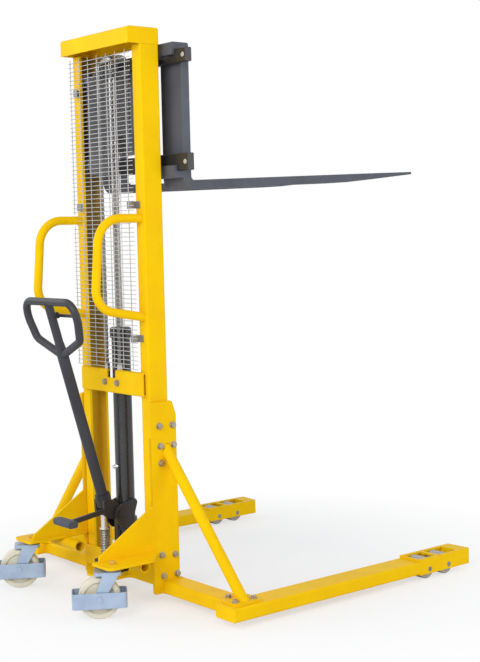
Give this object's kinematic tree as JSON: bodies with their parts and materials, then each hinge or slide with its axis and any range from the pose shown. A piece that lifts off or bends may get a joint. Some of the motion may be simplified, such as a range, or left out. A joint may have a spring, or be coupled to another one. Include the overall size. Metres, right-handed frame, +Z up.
{
  "type": "hand pallet stacker",
  "caption": "Hand pallet stacker with straddle legs, a chain-lifted fork carriage on a channel mast, a mesh guard, a pump tiller with pedal, and swivel casters.",
  "frame": {"origin": "centre of the bounding box's foot, on the floor", "axes": "+X forward along the forks, +Y to the operator's left, +Z up"},
  "size_m": [1.7434, 1.416, 2.08],
  "materials": {
    "yellow_paint": "gloss paint",
    "fork_grey_paint": "satin paint",
    "dark_paint": "satin paint",
    "tiller_paint": "satin paint",
    "mesh_zinc": "zinc plated wire",
    "pedal_plastic": "moulded",
    "bright_steel": "machined",
    "roller_steel": "turned",
    "bolt_steel": "passivated",
    "chain_steel": "oiled",
    "caster_zinc": "zinc plated",
    "ivory_nylon": "moulded nylon"
  },
  "bodies": {
    "frame": {"base_plate": "yellow_paint", "bleed_fitting": "bright_steel", "caster_bracket_left": "yellow_paint", "caster_bracket_right": "yellow_paint", "chain_anchors": "bright_steel", "cross_beam_left": "yellow_paint", "cross_beam_right": "yellow_paint", "crosshead_pin": "dark_paint", "crossmember": "yellow_paint", "cylinder_barrel": "dark_paint", "cylinder_gland": "dark_paint", "frame_bolts": "bolt_steel", "grab_handle_left": "yellow_paint", "grab_handle_right": "yellow_paint", "guard_clips": "mesh_zinc", "leg_brace_left": "yellow_paint", "leg_brace_right": "yellow_paint", "load_roller_axles": "bright_steel", "mast_channel_left": "yellow_paint", "mast_channel_right": "yellow_paint", "mesh_guard": "mesh_zinc", "pump_body": "dark_paint", "pump_spring": "bright_steel", "rear_chains": "chain_steel", "side_post_left": "yellow_paint", "side_post_right": "yellow_paint", "straddle_leg_left": "yellow_paint", "straddle_leg_right": "yellow_paint", "top_beam": "yellow_paint"},
    "lift": {"lift_rod": "bright_steel", "pulley_yoke": "dark_paint", "chain_wraps": "chain_steel"},
    "pulleys": {"chain_pulleys": "bright_steel"},
    "carriage": {"carriage_sides": "dark_paint", "upper_fork_bar": "dark_paint", "lower_fork_bar": "dark_paint", "carriage_plate": "dark_paint", "front_chains": "chain_steel"},
    "fork_r": {"fork_right": "fork_grey_paint"},
    "fork_l": {"fork_left": "fork_grey_paint"},
    "tiller": {"tiller_stem": "tiller_paint", "handle_loop": "tiller_paint", "pump_crosshead": "dark_paint", "pedal_pad": "pedal_plastic"},
    "plunger": {"pump_plunger": "bright_steel"},
    "lever": {"release_lever": "dark_paint"},
    "guide_lower_left": {"guide_roller_lower_left": "roller_steel"},
    "guide_lower_right": {"guide_roller_lower_right": "roller_steel"},
    "guide_upper_left": {"guide_roller_upper_left": "roller_steel"},
    "guide_upper_right": {"guide_roller_upper_right": "roller_steel"},
    "caster_left": {"caster_yoke_left": "caster_zinc", "toe_guard_left": "caster_zinc"},
    "wheel_left": {"caster_wheel_left": "ivory_nylon"},
    "load_rear_left": {"load_roller_rear_left": "ivory_nylon"},
    "load_front_left": {"load_roller_front_left": "ivory_nylon"},
    "caster_right": {"caster_yoke_right": "caster_zinc", "toe_guard_right": "caster_zinc"},
    "wheel_right": {"caster_wheel_right": "ivory_nylon"},
    "load_rear_right": {"load_roller_rear_right": "ivory_nylon"},
    "load_front_right": {"load_roller_front_right": "ivory_nylon"}
  },
  "joints": [
    {"name": "rod_slide", "type": "slide", "parent": "frame", "child": "lift", "axis": [0, 0, 1], "range_m": [-0.72, 0], "deforming": ["rear_chains"]},
    {"name": "carriage_slide", "type": "slide", "parent": "lift", "child": "carriage", "axis": [0, 0, 1], "range_m": [-0.72, 0], "deforming": ["front_chains"]},
    {"name": "pulley_spin", "type": "hinge", "parent": "lift", "child": "pulleys", "pos_m": [-0.48027, 0, 1.96], "axis": [0, 1, 0], "range_deg": [-2, 1150]},
    {"name": "fork_right_slide", "type": "slide", "parent": "carriage", "child": "fork_r", "axis": [0, -1, 0], "range_m": [-0.12, 0.04]},
    {"name": "fork_left_slide", "type": "slide", "parent": "carriage", "child": "fork_l", "axis": [0, 1, 0], "range_m": [-0.12, 0.04]},
    {"name": "tiller_pivot", "type": "hinge", "parent": "frame", "child": "tiller", "pos_m": [-0.53327, 0, 0.3], "axis": [0, 1, 0], "range_deg": [-50, 0], "stiffness_Nm_per_rad": 70, "springref_deg": 34.38},
    {"name": "plunger_slide", "type": "slide", "parent": "frame", "child": "plunger", "axis": [0, 0, 1], "range_m": [-0.041, 0], "deforming": ["pump_spring"]},
    {"name": "lever_pivot", "type": "hinge", "parent": "tiller", "child": "lever", "pos_m": [-0.75299, 0, 1.05839], "axis": [-0.9627, 0, -0.2706], "range_deg": [0, 18], "stiffness_Nm_per_rad": 1, "springref_deg": -5.73},
    {"name": "guide_lower_left_spin", "type": "hinge", "parent": "carriage", "child": "guide_lower_left", "pos_m": [-0.47227, 0.19425, 1.612], "axis": [0, 1, 0], "range_deg": [-5, 2700]},
    {"name": "guide_lower_right_spin", "type": "hinge", "parent": "carriage", "child": "guide_lower_right", "pos_m": [-0.47227, -0.19425, 1.612], "axis": [0, 1, 0], "range_deg": [-5, 2700]},
    {"name": "guide_upper_left_spin", "type": "hinge", "parent": "carriage", "child": "guide_upper_left", "pos_m": [-0.47227, 0.19425, 1.93], "axis": [0, 1, 0], "range_deg": [-2700, 5]},
    {"name": "guide_upper_right_spin", "type": "hinge", "parent": "carriage", "child": "guide_upper_right", "pos_m": [-0.47227, -0.19425, 1.93], "axis": [0, 1, 0], "range_deg": [-2700, 5]},
    {"name": "caster_left_swivel", "type": "hinge", "parent": "frame", "child": "caster_left", "pos_m": [-0.73127, 0.28, 0.18], "axis": [0, 0, 1], "continuous": true},
    {"name": "wheel_left_spin", "type": "hinge", "parent": "caster_left", "child": "wheel_left", "pos_m": [-0.77197, 0.30544, 0.075], "axis": [0.5299, 0.848, 0], "continuous": true},
    {"name": "load_rear_left_spin", "type": "hinge", "parent": "frame", "child": "load_rear_left", "pos_m": [0.43473, 0.654, 0.04], "axis": [0, 1, 0], "continuous": true},
    {"name": "load_front_left_spin", "type": "hinge", "parent": "frame", "child": "load_front_left", "pos_m": [0.54073, 0.654, 0.04], "axis": [0, 1, 0], "continuous": true},
    {"name": "caster_right_swivel", "type": "hinge", "parent": "frame", "child": "caster_right", "pos_m": [-0.73127, -0.28, 0.18], "axis": [0, 0, 1], "continuous": true},
    {"name": "wheel_right_spin", "type": "hinge", "parent": "caster_right", "child": "wheel_right", "pos_m": [-0.77197, -0.25456, 0.075], "axis": [0.5299, 0.848, 0], "continuous": true},
    {"name": "load_rear_right_spin", "type": "hinge", "parent": "frame", "child": "load_rear_right", "pos_m": [0.43473, -0.654, 0.04], "axis": [0, 1, 0], "continuous": true},
    {"name": "load_front_right_spin", "type": "hinge", "parent": "frame", "child": "load_front_right", "pos_m": [0.54073, -0.654, 0.04], "axis": [0, 1, 0], "continuous": true}
  ],
  "couplings": [
    {"joint": "carriage_slide", "follows": "rod_slide", "ratio": 1},
    {"joint": "pulley_spin", "follows": "rod_slide", "rad_per_m": -27.778},
    {"joint": "plunger_slide", "follows": "tiller_pivot", "m_per_rad": 0.046},
    {"joint": "guide_lower_left_spin", "follows": "rod_slide", "rad_per_m": -65.147},
    {"joint": "guide_lower_right_spin", "follows": "rod_slide", "rad_per_m": -65.147},
    {"joint": "guide_upper_left_spin", "follows": "rod_slide", "rad_per_m": 65.147},
    {"joint": "guide_upper_right_spin", "follows": "rod_slide", "rad_per_m": 65.147}
  ]
}
